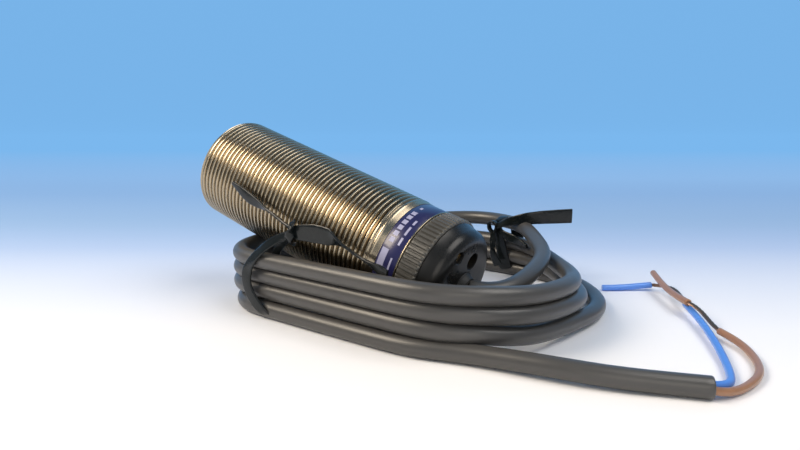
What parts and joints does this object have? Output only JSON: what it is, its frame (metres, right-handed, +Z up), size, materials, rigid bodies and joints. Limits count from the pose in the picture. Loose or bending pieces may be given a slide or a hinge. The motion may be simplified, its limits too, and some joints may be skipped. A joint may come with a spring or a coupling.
{
  "type": "inductive proximity sensor",
  "caption": "Cylindrical inductive proximity sensor: threaded metal barrel, ribbed rear ring and domed cap, lying on its coiled two-core cable with stripped ends.",
  "frame": {"origin": "centre of the sensor's bounding box on the ground, cable not counted", "axes": "+X from the sensing face to the cable end, level; +Y across; +Z up. The barrel slopes 17 degrees down towards +X"},
  "size_m": [0.1468, 0.0925, 0.0509],
  "materials": {
    "nickel": "satin nickel plate on brass",
    "face_plastic": "moulded",
    "seal_rubber": "matt",
    "ferrite": "sintered",
    "bobbin_plastic": "moulded",
    "copper": "drawn copper wire",
    "resin": "cast",
    "board": "glass epoxy laminate",
    "component_black": "moulded",
    "component_sleeve": "shrunk sleeve",
    "varistor_coating": "dipped",
    "lamp": "clear tinted",
    "trimmer_plastic": "moulded",
    "brass": "turned",
    "wiper_plastic": "moulded",
    "label": "printed film",
    "ring_plastic": "moulded ribs",
    "cap_plastic": "moulded",
    "cable_jacket": "satin flexible jacket",
    "blue_insulation": "extruded",
    "brown_insulation": "extruded",
    "tie_plastic": "coated ribbon"
  },
  "bodies": {
    "sensor": {"barrel": "nickel", "sensing_face": "face_plastic", "front_seal": "seal_rubber", "ferrite_core": "ferrite", "coil_bobbin": "bobbin_plastic", "coil_winding": "copper", "potting_resin": "resin", "circuit_board": "board", "oscillator_chip": "component_black", "bridge_rectifier": "component_black", "switching_thyristor": "component_black", "smoothing_capacitor": "component_sleeve", "surge_varistor": "varistor_coating", "chip_resistors": "component_black", "status_led": "lamp", "light_guide": "lamp", "trimmer_housing": "trimmer_plastic", "trimmer_end_plate": "trimmer_plastic", "resistive_strip": "component_black", "label_band": "label", "grip_ring": "ring_plastic", "rear_cap": "cap_plastic", "rear_seal": "seal_rubber", "cable_clamp": "nickel", "cable_grommet": "seal_rubber", "inner_cable": "cable_jacket", "inner_leads": "blue_insulation", "cable_lead": "cable_jacket", "cable_coil": "cable_jacket", "cable_tail": "cable_jacket", "blue_core": "blue_insulation", "blue_strands": "copper", "blue_slug": "blue_insulation", "brown_core": "brown_insulation", "brown_strands": "copper", "brown_slug": "brown_insulation", "front_tie": "tie_plastic", "rear_tie": "tie_plastic"},
    "screw": {"trimmer_screw": "brass"},
    "wiper": {"trimmer_wiper": "wiper_plastic"}
  },
  "joints": [
    {"name": "trimmer_turn", "type": "hinge", "parent": "sensor", "child": "screw", "pos_m": [0.01987, 0.0016, 0.02517], "axis": [0.9563, 0, -0.2924], "range_deg": [-2700, 2700]},
    {"name": "wiper_slide", "type": "slide", "parent": "sensor", "child": "wiper", "axis": [0.9563, 0, -0.2924], "range_m": [-0.0035, 0.0035]}
  ],
  "couplings": [
    {"joint": "trimmer_turn", "follows": "wiper_slide", "rad_per_m": 13464}
  ]
}
